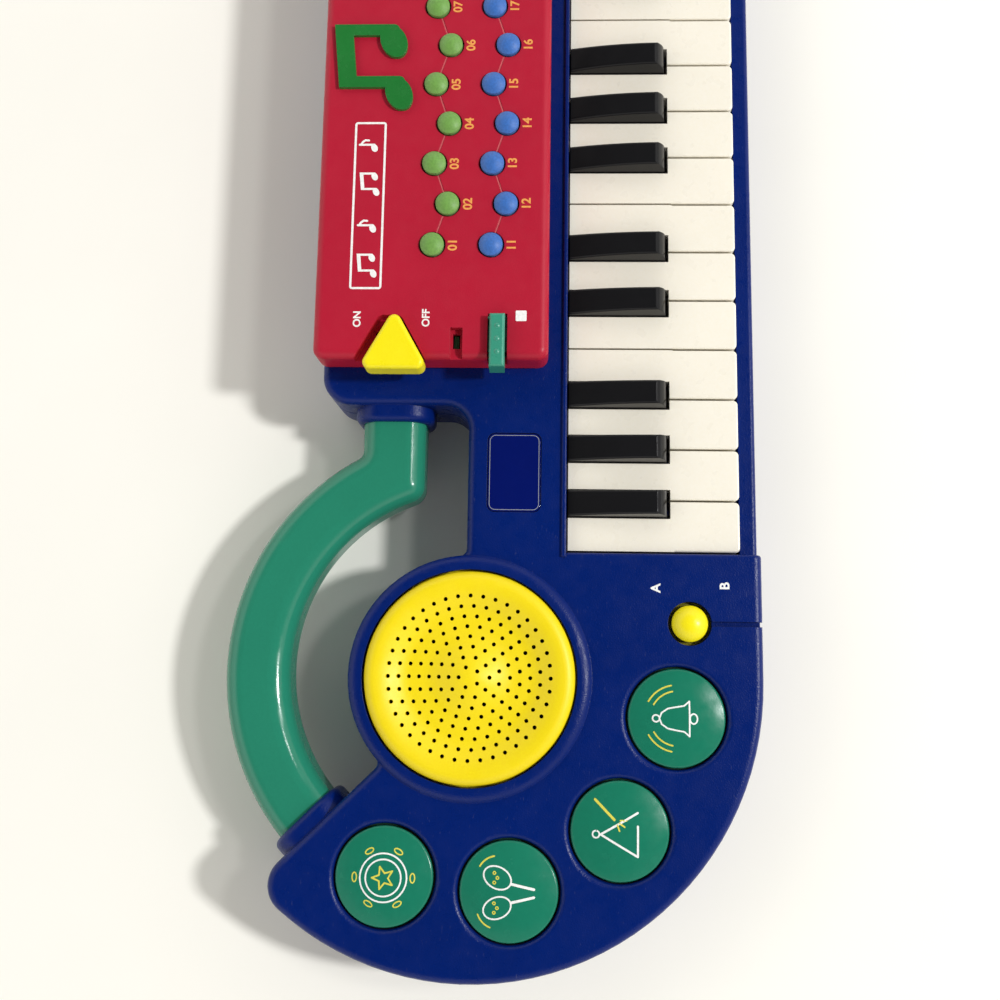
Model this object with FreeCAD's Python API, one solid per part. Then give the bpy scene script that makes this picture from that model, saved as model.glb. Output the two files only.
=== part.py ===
import FreeCAD, Part
import math
import os

V = FreeCAD.Vector

# Driving dimensions in millimetres and degrees.
# X runs along the keys from the left end of the key bed, Y runs back from the key fronts,
# Z runs up from the table. Everything is moved at the end, so that the origin is the centre of the base.

# Keys
white_count = 15
key_pitch = 14.5
key_gap = 0.5
key_length = 47.5
head_length = 19.1
key_depth = 6.0
key_plate = 1.8
key_skirt = 1.3
key_corner = 1.3
key_edge = 0.6
front_lip = 8.0
lip_wall = 1.6
key_dip = 3.0
key_drop = 2.0
black_base = 7.55
black_crown = 6.5
black_gap = 0.3
black_front_gap = 0.9
black_lean = 0.2
black_rise = 5.2
black_slope = 3.8
black_arch = 0.75
black_bevel = 3.0
black_bevel_drop = 4.0
black_bevel_bulge = 0.5
black_shift = 1.0
black_edge = 0.8
actuator_from_front = 30.0
actuator_width = 3.0
actuator_reach = 8.3

# Key hinge rail
hinge_behind = 12.0
hinge_below = 7.0
bar_radius = 2.0
hinge_clearance = 0.08
hook_wall = 1.5
web_thickness = 1.6
web_clearance = 0.5
flange_thickness = 1.5
flange_depth = 11.0
tail_clearance = 0.5
tail_overlap = 2.0

# Case
case_top = 26.5
part_line = 14.0
foot_height = 1.0
foot_radius = 5.0
wall = 2.2
case_round = 2.4
base_round = 2.0
seam_bevel = 0.3
front_gap = 0.7
rail_width = 4.9
rail_drop = 6.5
rail_round = 1.4
side_gap = 0.4
cheek_width = 11.6
strip_gap = 0.5
strip_width = 5.4
ridge_width = 1.3
ridge_height = 0.8
ridge_round = 0.45
end_round = 5.0
well_round = 0.9

# Drum end, and the neck that runs behind the key well
speaker_left_of_keys = 34.7
speaker_behind_fronts = 73.9
collar_radius = 33.2
collar_rise = 1.5
collar_crown = 2.9
cut_angle = 134.5
tip_round = 8.0
neck_depth = 27.5
neck_round = 7.0
arm_offset = 41.2
arm_round = 8.0
plate_length = 22.4
plate_width = 15.1
plate_recess = 0.6
plate_round = 2.2
plate_from_keys = 10.6
plate_behind_ridge = 5.7

# Speaker and grille
grille_radius = 28.7
grille_gap = 0.5
grille_flange = 1.8
grille_flange_gap = 0.3
grille_skin = 1.6
grille_crest = 3.0
rim_foot = 0.6
rim_crest_inset = 2.9
rim_start = 16.0
dome_foot = 13.0
grille_dome = 3.2
profile_steps = 16
skirt_inset = 1.4
hole_rings = 8
hole_step = 2.75
hole_radius = 0.55
spoke_angle = 90.0
holes_per_ring = 5
driver_radius = 26.4
driver_height = 16.4
driver_flange = 1.2
magnet_radius = 14.5
magnet_height = 6.0
cone_skin = 0.8
cone_gap = 0.1
cone_edge = 3.4
cone_cap = 5.5
cone_cap_foot = 4.0
basket_skin = 1.5
basket_floor = 1.0
basket_flange = 1.9
throat_inset = 2.0

# Drum pads and mode button
pad_outward = 0.35
pad_first_angle = 259.9
pad_step_angle = 34.1
pad_count = 4
pad_radius = 13.05
pad_gap = 0.5
pad_lip = 1.6
pad_dome = 2.0
pad_edge = 0.7
pad_below_case = 0.3
pad_travel = 1.2
mode_left_of_keys = 19.4
mode_behind_fronts = 14.3
mode_radius = 4.95
mode_gap = 1.0
mode_dome = 2.8
mode_groove = 1.3
mode_groove_depth = 0.9
mode_below_case = 0.5
flange_overlap = 1.4
flange_plate = 1.1
plunger_gap = 0.1
stem_radius = 2.0
stem_length = 0.9

# Control box, whose rows are measured back from its front
panel_rise = 10.0
panel_start = 51.7
panel_inset = 6.5
panel_depth = 65.3
panel_overhang = 1.2
panel_line = 0.5
panel_round = 2.5
panel_corner = 3.0
button_start = 84.2
button_pitch = 12.0
button_count = 8
button_radius = 3.3
button_gap = 0.45
button_above_panel = 0.7
button_dome = 1.4
button_travel = 1.5
rhythm_row = 14.3
voice_row = 30.7
row_zigzag = 4.0
panel_post_radius = 3.0
panel_post_gap = 2.2
panel_rib = 1.8
panel_rib_height = 1.6
panel_rib_gap = 0.2

# Power switch, stop button and end notch, measured back from the front of the control box
knob_centre = 42.4
knob_base_x = 48.0
knob_length = 17.5
knob_half_base = 9.8
knob_round = 2.0
knob_edge = 1.3
knob_above_panel = 2.9
knob_height = 6.6
knob_travel = 3.0
knob_gap = 0.5
knob_slide_gap = 0.2
recess_floor = 1.6
slider_neck_x = 4.0
slider_neck_y = 5.0
slider_foot = 1.3
slider_foot_overlap = 2.0
stop_centre = 14.1
stop_width = 4.2
stop_start = 48.7
stop_length = 15.0
stop_above_panel = 2.9
stop_height = 7.2
stop_gap = 0.6
stop_travel = 1.5
stop_round = 0.8
stop_bumps = 3
stop_bump_radius = 1.1
stop_bump_rise = 0.3
stop_bump_pitch = 3.65
notch_centre = 25.4
notch_width = 3.4
notch_length = 8.6
notch_depth = 2.0
notch_slot_width = 2.0
notch_slot_length = 4.2
notch_slot_end = 1.3
lamp_gap = 0.3

# Carry handle
handle_radius = 60.0
handle_shift = 1.3
handle_width = 18.0
handle_height = 17.0
handle_round = 5.4
handle_behind_fronts = 97.4
handle_insert = 4.0
handle_middle_angle = 80.0
elbow_outer_round = 5.0
elbow_inner_round = 2.5
socket_gap = 0.1
socket_length = 4.4
socket_wall = 2.2
socket_round = 2.0

# Boards, mats and screws
board_thickness = 1.6
mat_thickness = 0.8
press_gap = 0.1
key_board_depth = 12.0
key_board_ribs = 6
mat_margin = 1.0
pad_board_margin = 1.0
pad_mat_margin = 2.5
mode_board_margin = 2.0
switch_board_gap = 0.6
switch_board_length = 12.0
board_post_radius = 2.2
screw_radius = 1.4
screw_head_radius = 2.9
screw_head_height = 2.0
screw_gap = 0.05
screw_bite = 7.0
boss_radius = 3.2
boss_foot_radius = 4.2
boss_overlap = 0.6
counterbore_depth = 4.0
tip_screw_angle = 11.5
rear_screw_gap = 20.0
arm_screw_gap = 5.5
arm_foot_inset = 7.0

# Battery bay, measured back from the front of the control box
cell_count = 3
cell_radius = 7.2
cell_length = 49.2
cell_nub_radius = 2.7
cell_nub = 1.3
cell_gap = 0.2
bay_start = 64.0
bay_front = 14.1
bay_end_gap = 3.0
bay_wall = 1.4
door_margin = 3.0
door_skin = 1.0
door_tongue = 1.2
door_gap = 0.15
door_setback = 1.5
grip_ribs = 3
grip_pitch = 3.0
grip_length = 20.0

# How far a cutting block runs past the face it cuts, and how near two places count as one
over = 1.0
touch = 1e-4

# Derived levels
floor_top = foot_height + wall
ceiling = case_top - wall
key_top = case_top - key_drop
rail_top = case_top - rail_drop
panel_top = case_top + panel_rise
panel_ceiling = panel_top - wall
hinge_z = key_top - hinge_below
handle_z = part_line
grille_seat = ceiling - grille_flange
flange_bottom = ceiling - flange_thickness
tail_top = flange_bottom - tail_clearance

# Derived places
bed_length = white_count * key_pitch
key_left = -side_gap
key_right = bed_length + side_gap
right_end = key_right + cheek_width
front_edge = -front_gap - rail_width
well_back = key_length + strip_gap
panel_front = well_back + strip_width
panel_back = panel_front + panel_depth
panel_end = right_end - panel_inset
neck_edge = well_back + neck_depth
rhythm_y = panel_front + rhythm_row
voice_y = panel_front + voice_row
knob_y = panel_front + knob_centre
stop_y = panel_front + stop_centre
notch_y = panel_front + notch_centre
bay_y = panel_front + bay_front
back_edge = panel_back - panel_overhang
speaker_x = -speaker_left_of_keys
speaker_y = speaker_behind_fronts
drum_radius = speaker_y - front_edge
pad_circle = (collar_radius + drum_radius) / 2.0 + pad_outward
hinge_y = key_length + hinge_behind
dip_angle = key_dip / hinge_y
hook_radius = bar_radius + hinge_clearance + hook_wall
mode_x = -mode_left_of_keys
mode_y = mode_behind_fronts
handle_x = speaker_x + handle_shift
handle_y = handle_behind_fronts
grille_flange_radius = collar_radius - wall - grille_flange_gap
socket_width = handle_width + 2.0 * (socket_gap + socket_wall)
socket_height = handle_height + 2.0 * (socket_gap + socket_wall)
socket_radius = math.sqrt(handle_radius ** 2 - (handle_shift * math.sin(math.radians(cut_angle))) ** 2)
socket_reach = socket_radius + handle_shift * math.cos(math.radians(cut_angle))
insert_angle = math.degrees(handle_insert / handle_radius)
boss_inset = wall + boss_foot_radius - boss_overlap
lamp_x = panel_start + notch_length - notch_slot_length / 2.0 - notch_slot_end
bay_length = cell_length + cell_nub + 2.0 * bay_end_gap
bay_depth = cell_count * (2.0 * cell_radius + cell_gap) + cell_gap

# Levels inside the drum end: pads and mode button press on one board
pad_stem_bottom = ceiling - plunger_gap - flange_plate - stem_length
pad_mat_top = pad_stem_bottom - pad_travel - press_gap
pad_board_bottom = pad_mat_top - mat_thickness - board_thickness

# Levels inside the control box
button_stem_bottom = panel_ceiling - plunger_gap - flange_plate - stem_length
panel_mat_top = button_stem_bottom - button_travel - press_gap
panel_board_bottom = panel_mat_top - mat_thickness - board_thickness

# Levels under the keys
actuator_bottom = key_top - actuator_reach
actuator_fall = (hinge_y - actuator_from_front) * math.tan(dip_angle)
key_mat_top = actuator_bottom - actuator_fall - press_gap
key_board_bottom = key_mat_top - mat_thickness - board_thickness
key_board_front = actuator_from_front - key_board_depth / 2.0

# Battery bay levels
door_bottom = foot_height + door_gap
tongue_bottom = foot_height + door_skin
channel_top = tongue_bottom + door_skin + 2.0 * door_gap
cell_z = channel_top + cell_gap / 2.0 + cell_radius

# Levels of the power switch
knob_top = panel_top + knob_above_panel
knob_bottom = knob_top - knob_height
recess_bottom = knob_bottom - knob_slide_gap
neck_x = panel_start + wall + slider_neck_x

# Levels of the stop button
stop_top = panel_top + stop_above_panel
stop_bottom = stop_top - stop_height
stop_end = stop_start + stop_length

# One octave of white keys from F, and how far the black key after each one sits from the joint line
octave = ["f", "g", "a", "b", "c", "d", "e"]
black_after = {"f": -black_shift, "g": 0.0, "a": black_shift, "c": -black_shift, "d": black_shift}

# The centre of the base, which becomes the origin
centre_x = (speaker_x - drum_radius + right_end) / 2.0
centre_y = (front_edge + speaker_y + handle_radius + handle_width / 2.0) / 2.0


def box(x0, x1, y0, y1, z0, z1):
    return Part.makeBox(x1 - x0, y1 - y0, z1 - z0, V(x0, y0, z0))


def rod(x, y, z0, z1, radius):
    return Part.makeCylinder(radius, z1 - z0, V(x, y, z0))


def polar(radius, angle):
    turn = math.radians(angle)
    return V(speaker_x + radius * math.cos(turn), speaker_y + radius * math.sin(turn), 0)


def line(a, b):
    return Part.LineSegment(a, b).toShape()


def arc(a, b, c):
    return Part.Arc(a, b, c).toShape()


def prism(edges, z0, z1):
    face = Part.Face(Part.Wire(edges))
    face.translate(V(0, 0, z0))
    return face.extrude(V(0, 0, z1 - z0))


def polygon(points):
    return Part.makePolygon(list(points) + [points[0]])


def extrude_polygon(points, direction):
    return Part.Face(polygon(points)).extrude(direction)


def join(first, others):
    shape = first.fuse(others)
    return shape.removeSplitter()


def near(a, b):
    return abs(a - b) < touch


def edges_on_level(shape, z):
    return [e for e in shape.Edges if near(e.BoundBox.ZMin, z) and near(e.BoundBox.ZMax, z)]


def upright_edges(shape, spot):
    found = []
    for edge in shape.Edges:
        size = edge.BoundBox
        upright = size.XLength < touch and size.YLength < touch
        if upright and math.hypot(size.XMin - spot.x, size.YMin - spot.y) < touch:
            found.append(edge)
    return found


def round_uprights(shape, spots):
    for spot, radius in spots:
        shape = shape.makeFillet(radius, upright_edges(shape, spot))
    return shape


def shrink(shape, level, amount):
    wire = Part.Wire(shape.slice(V(0, 0, 1), level)[0])
    return Part.Face(wire).makeOffset2D(-amount)


def revolve(points_and_curves, x, y):
    face = Part.Face(Part.Wire(points_and_curves))
    solid = face.revolve(V(0, 0, 0), V(0, 0, 1), 360)
    solid.translate(V(x, y, 0))
    return solid


def pad_hole(spot):
    radius = pad_radius + pad_gap
    low = V(radius, 0, ceiling - over)
    foot = V(radius, 0, case_top - pad_lip)
    brow = V(radius + pad_lip, 0, case_top)
    half_way = pad_lip * (1.0 - math.sqrt(0.5))
    middle = V(radius + half_way, 0, case_top - half_way)
    high = V(radius + pad_lip, 0, case_top + over)
    axis_low = V(0, 0, low.z)
    axis_high = V(0, 0, high.z)
    edges = [line(axis_low, low), line(low, foot), arc(foot, middle, brow), line(brow, high),
             line(high, axis_high), line(axis_high, axis_low)]
    return revolve(edges, spot.x, spot.y)


def speaker_collar():
    low = V(collar_radius, 0, ceiling - wall)
    foot = V(collar_radius, 0, case_top)
    crest = V(collar_radius - collar_crown, 0, case_top + collar_rise)
    crown_round = (collar_crown ** 2 + collar_rise ** 2) / (2.0 * collar_rise)
    half_turn = math.atan2(collar_rise, collar_crown)
    middle = crest + V(crown_round * math.sin(half_turn), 0, -crown_round * (1.0 - math.cos(half_turn)))
    axis_low = V(0, 0, low.z)
    axis_high = V(0, 0, crest.z)
    edges = [line(axis_low, low), line(low, foot), arc(foot, middle, crest), line(crest, axis_high),
             line(axis_high, axis_low)]
    return revolve(edges, speaker_x, speaker_y)


def panel_rib_block():
    inset = wall + panel_corner
    back = panel_back - wall - panel_rib_gap
    return box(panel_start + inset, panel_end - inset, back - panel_rib, back,
               ceiling, case_top + panel_rib_height)


def case_block(z0, z1):
    cut_outer = polar(drum_radius, cut_angle)
    cut_inner = polar(collar_radius, cut_angle)
    neck_side = neck_edge - speaker_y
    neck_start = V(speaker_x + math.sqrt(collar_radius ** 2 - neck_side ** 2), neck_edge, 0)
    front_right = V(right_end, front_edge, 0)
    back_right = V(right_end, back_edge, 0)
    front_left = V(speaker_x, front_edge, 0)
    neck_corner = V(arm_offset, neck_edge, 0)
    arm_corner = V(arm_offset, back_edge, 0)
    edges = [
        line(front_right, front_left),
        arc(front_left, polar(drum_radius, (270.0 + cut_angle) / 2.0), cut_outer),
        line(cut_outer, cut_inner),
        arc(cut_inner, polar(collar_radius, cut_angle / 2.0), neck_start),
        line(neck_start, neck_corner),
        line(neck_corner, arm_corner),
        line(arm_corner, back_right),
        line(back_right, front_right),
    ]
    block = prism(edges, z0, z1)
    corners = [
        (front_right, end_round),
        (back_right, end_round),
        (cut_outer, tip_round),
        (neck_corner, neck_round),
        (arm_corner, arm_round),
        (cut_inner, case_round),
        (neck_start, case_round),
    ]
    return round_uprights(block, corners)


def handle_solid(grow):
    half = handle_width / 2.0 + grow
    tall = handle_height / 2.0 + grow
    outer = handle_radius + half
    inner = handle_radius - half
    side_in = handle_y - half
    side_out = handle_y + half
    end_x = arm_offset + handle_insert + grow
    last = cut_angle + insert_angle + math.degrees(grow / handle_radius)
    start_out = V(handle_x + math.sqrt(outer ** 2 - (side_out - speaker_y) ** 2), side_out, 0)
    start_in = V(handle_x + math.sqrt(inner ** 2 - (side_in - speaker_y) ** 2), side_in, 0)

    def on_arc(radius, angle):
        return polar(radius, angle) + V(handle_shift, 0, 0)

    edges = [
        line(V(end_x, side_in, 0), V(end_x, side_out, 0)),
        line(V(end_x, side_out, 0), start_out),
        arc(start_out, on_arc(outer, handle_middle_angle), on_arc(outer, last)),
        line(on_arc(outer, last), on_arc(inner, last)),
        arc(on_arc(inner, last), on_arc(inner, handle_middle_angle), start_in),
        line(start_in, V(end_x, side_in, 0)),
    ]
    solid = prism(edges, handle_z - tall, handle_z + tall)
    solid = round_uprights(solid, [(start_in, elbow_outer_round), (start_out, elbow_inner_round)])
    long_edges = []
    for level in (handle_z - tall, handle_z + tall):
        for edge in edges_on_level(solid, level):
            middle = edge.valueAt((edge.FirstParameter + edge.LastParameter) / 2.0)
            at_arm = near(middle.x, end_x)
            at_drum = (middle - on_arc(handle_radius, last) - V(0, 0, level)).Length < touch
            if not at_arm and not at_drum:
                long_edges.append(edge)
    return solid.makeFillet(handle_round + grow, long_edges)


def socket_collar():
    x0 = -socket_length
    collar = box(x0, wall, -socket_width / 2.0, socket_width / 2.0,
                 handle_z - socket_height / 2.0, handle_z + socket_height / 2.0)
    along = [e for e in collar.Edges if e.BoundBox.XLength > socket_length]
    collar = collar.makeFillet(handle_round + socket_wall, along)
    rim = [e for e in collar.Edges if near(e.BoundBox.XMin, x0) and near(e.BoundBox.XMax, x0)]
    return collar.makeFillet(socket_round, rim)


def both_collars():
    arm_collar = socket_collar()
    arm_collar.translate(V(arm_offset, handle_y, 0))
    drum_collar = socket_collar()
    drum_collar.rotate(V(0, 0, 0), V(0, 0, 1), cut_angle + 90.0)
    drum_collar.translate(polar(socket_reach, cut_angle))
    return [arm_collar, drum_collar]


def collar_halves(z0, z1):
    keep = box(speaker_x - 2.0 * drum_radius, right_end, front_edge, panel_back + drum_radius, z0, z1)
    return [collar.common(keep) for collar in both_collars()]


def pad_spots():
    return [polar(pad_circle, pad_first_angle - pad_step_angle * i) for i in range(pad_count)]


def screw_spots():
    reach = drum_radius - boss_inset
    spots = [polar(reach, pad_first_angle - pad_step_angle * (i + 0.5)) for i in range(pad_count - 1)]
    spots.append(polar(reach, cut_angle + tip_screw_angle))
    rear_row = back_edge - boss_inset
    cheek = (key_right + right_end) / 2.0
    spots.append(V(key_left - wall - 2.0 * boss_foot_radius, actuator_from_front, 0))
    spots.append(V(arm_offset - boss_radius, neck_edge - boss_inset, 0))
    spots.append(V(arm_offset + handle_insert + arm_screw_gap, rear_row, 0))
    spots.append(V(cheek, front_edge + wall + 2.0 * boss_foot_radius, 0))
    spots.append(V(cheek, rear_row - boss_radius, 0))
    spots.append(V(bay_start + bay_length + door_margin + rear_screw_gap, rear_row, 0))
    return spots


def board_post_spots():
    angles = [pad_first_angle - pad_step_angle * (i + 0.5) for i in range(pad_count - 1)]
    return [polar(pad_circle, angle) for angle in angles]


def button_spots(row):
    spots = []
    for i in range(button_count):
        side = 1.0 if i % 2 == 0 else -1.0
        spots.append(V(button_start + i * button_pitch, row + side * row_zigzag / 2.0, 0))
    return spots


def panel_board_span():
    x0 = button_start - 2.0 * button_radius
    x1 = button_start + (button_count - 1) * button_pitch + 2.0 * button_radius
    reach = row_zigzag / 2.0 + 2.0 * button_radius
    return x0, x1, rhythm_y - reach, voice_y + reach


def make_upper_case():
    block = case_block(part_line, case_top)
    cavity = shrink(block, part_line + over, wall)
    cavity.translate(V(0, 0, -2.0 * over))
    block = block.makeFillet(case_round, edges_on_level(block, case_top))
    block = block.makeChamfer(seam_bevel, edges_on_level(block, part_line))
    shell = block.cut(cavity.extrude(V(0, 0, ceiling - part_line + over)))
    well = box(key_left, key_right, front_edge - over, well_back, part_line - over, case_top + over)
    shell = shell.cut(well)

    rail = box(key_left - wall, key_right + wall, front_edge, front_edge + rail_width, part_line, rail_top)
    outer_edge = [e for e in edges_on_level(rail, rail_top) if near(e.BoundBox.YMax, front_edge)]
    rail = rail.makeFillet(rail_round, outer_edge)
    seam_edge = [e for e in edges_on_level(rail, part_line) if near(e.BoundBox.YMax, front_edge)]
    rail = rail.makeChamfer(seam_bevel, seam_edge)
    rail = rail.cut(box(key_left, key_right, front_edge + wall, front_edge + rail_width - key_skirt,
                        part_line - over, rail_top - wall))
    added = [rail]
    for x in (key_left - wall, key_right):
        added.append(box(x, x + wall, front_edge + wall / 2.0, well_back, part_line, ceiling + wall / 2.0))
    ridge = box(key_left - ridge_width, key_right + ridge_width, well_back, well_back + ridge_width,
                ceiling, case_top + ridge_height)
    added.append(ridge.makeFillet(ridge_round, edges_on_level(ridge, case_top + ridge_height)))
    added.append(speaker_collar())
    added.append(panel_rib_block())
    added += [rod(s.x, s.y, part_line, ceiling + wall / 2.0, boss_radius) for s in screw_spots()]
    x0, x1, y0, y1 = panel_board_span()
    for x in (x0 + board_post_radius, x1 - board_post_radius):
        for y in (y0 + board_post_radius, y1 - board_post_radius):
            added.append(rod(x, y, ceiling, panel_board_bottom, board_post_radius))
    added += collar_halves(part_line, case_top)
    shell = join(shell, added)
    well_edges = []
    for edge in edges_on_level(shell, case_top):
        size = edge.BoundBox
        on_side = near(size.XMin, key_left) or near(size.XMin, key_right)
        if on_side and size.XLength < touch:
            well_edges.append(edge)
    shell = shell.makeFillet(well_round, well_edges)

    cuts = [
        rod(speaker_x, speaker_y, part_line - over, case_top + collar_rise + over,
            grille_radius + grille_gap),
        rod(speaker_x, speaker_y, part_line - over, ceiling, collar_radius - wall),
    ]
    cuts += [pad_hole(s) for s in pad_spots()]
    cuts.append(rod(mode_x, mode_y, ceiling - over, case_top + over, mode_radius + mode_gap))
    half = mode_groove / 2.0
    cuts.append(box(mode_x - half, mode_x + half, front_edge - over, mode_y,
                    case_top - mode_groove_depth, case_top + over))
    cuts.append(box(mode_x - half, mode_x + half, front_edge - over, front_edge + mode_groove_depth,
                    part_line - over, case_top + over))
    cuts.append(name_plate_recess())
    pilot = screw_radius + screw_gap
    for s in screw_spots():
        cuts.append(rod(s.x, s.y, part_line - over, part_line + screw_bite + screw_gap, pilot))
    cuts.append(handle_solid(socket_gap))
    return shell.cut(cuts)


def name_plate_recess():
    x0 = plate_from_keys
    y0 = well_back + ridge_width + plate_behind_ridge
    recess = box(x0, x0 + plate_length, y0, y0 + plate_width, case_top - plate_recess, case_top + over)
    corners = [V(x, y, 0) for x in (x0, x0 + plate_length) for y in (y0, y0 + plate_width)]
    return round_uprights(recess, [(corner, plate_round) for corner in corners])


def foot_spots():
    reach = drum_radius - wall - 2.0 * foot_radius
    inset = wall + 2.0 * foot_radius
    return [
        polar(reach, pad_first_angle),
        polar(reach, pad_first_angle - pad_step_angle * (pad_count - 1)),
        V(right_end - inset, front_edge + inset, 0),
        V(right_end - inset, back_edge - inset, 0),
        V(arm_offset + wall + arm_foot_inset, neck_edge, 0),
    ]


def door_span():
    x0 = bay_start - door_margin
    x1 = bay_start + bay_length + door_margin
    return x0, x1, bay_y - door_margin


def make_lower_case():
    block = case_block(foot_height, part_line)
    cavity = shrink(block, foot_height + over, wall)
    cavity.translate(V(0, 0, floor_top - foot_height - over))
    block = block.makeFillet(base_round, edges_on_level(block, foot_height))
    block = block.makeChamfer(seam_bevel, edges_on_level(block, part_line))
    shell = block.cut(cavity.extrude(V(0, 0, part_line)))

    added = [rod(s.x, s.y, 0.0, floor_top, foot_radius) for s in foot_spots()]
    added += [rod(s.x, s.y, foot_height + wall / 2.0, part_line, boss_foot_radius) for s in screw_spots()]
    added += collar_halves(foot_height, part_line)
    seat = rod(speaker_x, speaker_y, floor_top - wall / 2.0, grille_seat - driver_height, magnet_radius)
    added.append(seat.cut(rod(speaker_x, speaker_y, 0.0, part_line, magnet_radius - wall)))
    for s in board_post_spots() + [mode_post_spot()]:
        added.append(rod(s.x, s.y, floor_top - wall / 2.0, pad_board_bottom, board_post_radius))
    for i in range(key_board_ribs):
        x = (i + 0.5) * bed_length / key_board_ribs
        added.append(box(x - wall / 2.0, x + wall / 2.0, key_board_front, key_board_front + key_board_depth,
                         floor_top - wall / 2.0, key_board_bottom))
    x0, x1, y0 = door_span()
    rim = door_tongue + wall
    added.append(box(x0 - rim, x1 + rim, y0 - wall, back_edge - wall / 2.0,
                     foot_height, channel_top + wall))
    bay_x1 = bay_start + bay_length
    bay_y1 = bay_y + bay_depth
    added.append(box(bay_start - bay_wall, bay_x1 + bay_wall, bay_y - bay_wall, bay_y1 + bay_wall,
                     channel_top, cell_z + cell_radius / 2.0))
    shell = join(shell, added)

    past = back_edge + wall
    cuts = [
        box(bay_start, bay_x1, bay_y, bay_y1, foot_height - over, part_line + cell_radius),
        box(x0, x1, y0, past, foot_height - over, channel_top),
        box(x0 - door_tongue, x1 + door_tongue, y0, past, tongue_bottom, channel_top),
    ]
    shank = screw_radius + screw_gap
    for s in screw_spots():
        cuts.append(rod(s.x, s.y, 0.0, part_line + over, shank))
        cuts.append(rod(s.x, s.y, 0.0, foot_height + counterbore_depth, screw_head_radius + screw_gap))
    cuts.append(handle_solid(socket_gap))
    return shell.cut(cuts)


def make_battery_door():
    x0, x1, y0 = door_span()
    back = back_edge - door_setback
    plate = box(x0 + door_gap, x1 - door_gap, y0 + door_gap, back, door_bottom, tongue_bottom + door_gap)
    tongue = box(x0 - door_tongue + door_gap, x1 + door_tongue - door_gap, y0 + door_gap, back,
                 tongue_bottom + door_gap, channel_top - door_gap)
    ribs = []
    middle = (x0 + x1) / 2.0
    reach = grip_length / 2.0
    for i in range(grip_ribs):
        y = back - (i + 2.0) * grip_pitch
        ribs.append(box(middle - reach, middle + reach, y - grip_pitch / 4.0, y + grip_pitch / 4.0,
                        foot_height / 2.0, door_bottom + door_gap))
    return join(plate, [tongue] + ribs)


def make_battery_cells():
    cells = []
    for i in range(cell_count):
        y = bay_y + cell_gap + cell_radius + i * (2.0 * cell_radius + cell_gap)
        can = Part.makeCylinder(cell_radius, cell_length, V(0, 0, 0), V(1, 0, 0))
        nub = Part.makeCylinder(cell_nub_radius, cell_nub, V(cell_length, 0, 0), V(1, 0, 0))
        cell = can.fuse(nub)
        if i % 2:
            cell.rotate(V((cell_length + cell_nub) / 2.0, 0, 0), V(0, 0, 1), 180)
        cell.translate(V(bay_start + bay_end_gap, y, cell_z))
        cells.append(cell)
    return Part.makeCompound(cells)


def make_case_screws():
    screws = []
    head_bottom = foot_height + counterbore_depth - screw_head_height
    head_top = foot_height + counterbore_depth
    for s in screw_spots():
        head = rod(s.x, s.y, head_bottom, head_top, screw_head_radius)
        shank = rod(s.x, s.y, head_top, part_line + screw_bite, screw_radius)
        slot_half = screw_radius / 3.0
        cross = [
            box(s.x - screw_radius, s.x + screw_radius, s.y - slot_half, s.y + slot_half,
                head_bottom - over, head_bottom + screw_head_height / 2.0),
            box(s.x - slot_half, s.x + slot_half, s.y - screw_radius, s.y + screw_radius,
                head_bottom - over, head_bottom + screw_head_height / 2.0),
        ]
        screws.append(head.fuse(shank).cut(cross))
    return Part.makeCompound(screws)


def swell(radius, start, end, height):
    share = min(1.0, max(0.0, (radius - start) / (end - start)))
    return height * (1.0 - math.cos(math.pi * share)) / 2.0


def grille_curve(start, crest, drop):
    points = []
    for i in range(profile_steps + 1):
        radius = start * (1.0 - i / profile_steps)
        rise = swell(radius, rim_start, crest, grille_crest) + swell(radius, dome_foot, 0.0, grille_dome)
        points.append(V(radius, 0, case_top + rise - drop))
    curve = Part.BSplineCurve()
    curve.interpolate(points)
    return curve.toShape(), points


def make_speaker_grille():
    skirt = driver_radius - skirt_inset
    crest = grille_radius - rim_crest_inset
    crest_top = case_top + grille_crest
    top, top_points = grille_curve(crest, crest, 0.0)
    under, under_points = grille_curve(skirt, crest, grille_skin)
    rim_drop = grille_crest - rim_foot
    rim_round = (rim_crest_inset ** 2 + rim_drop ** 2) / (2.0 * rim_drop)
    half_turn = math.atan2(rim_drop, rim_crest_inset)
    rim_middle = V(crest + rim_round * math.sin(half_turn), 0,
                   crest_top - rim_round * (1.0 - math.cos(half_turn)))
    corners = [
        under_points[0],
        V(skirt, 0, grille_seat),
        V(grille_flange_radius, 0, grille_seat),
        V(grille_flange_radius, 0, ceiling),
        V(grille_radius, 0, ceiling),
        V(grille_radius, 0, case_top + rim_foot),
    ]
    edges = [line(a, b) for a, b in zip(corners, corners[1:])]
    edges += [arc(corners[-1], rim_middle, top_points[0]), top]
    edges += [line(top_points[-1], under_points[-1]), under]
    dish = revolve(Part.__sortEdges__(edges), speaker_x, speaker_y)
    holes = [rod(speaker_x, speaker_y, grille_seat, crest_top, hole_radius)]
    for ring in range(1, hole_rings + 1):
        count = holes_per_ring * ring
        for k in range(count):
            spot = polar(ring * hole_step, spoke_angle + 360.0 * k / count)
            holes.append(rod(spot.x, spot.y, grille_seat, crest_top, hole_radius))
    return dish.cut(Part.makeCompound(holes))


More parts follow.
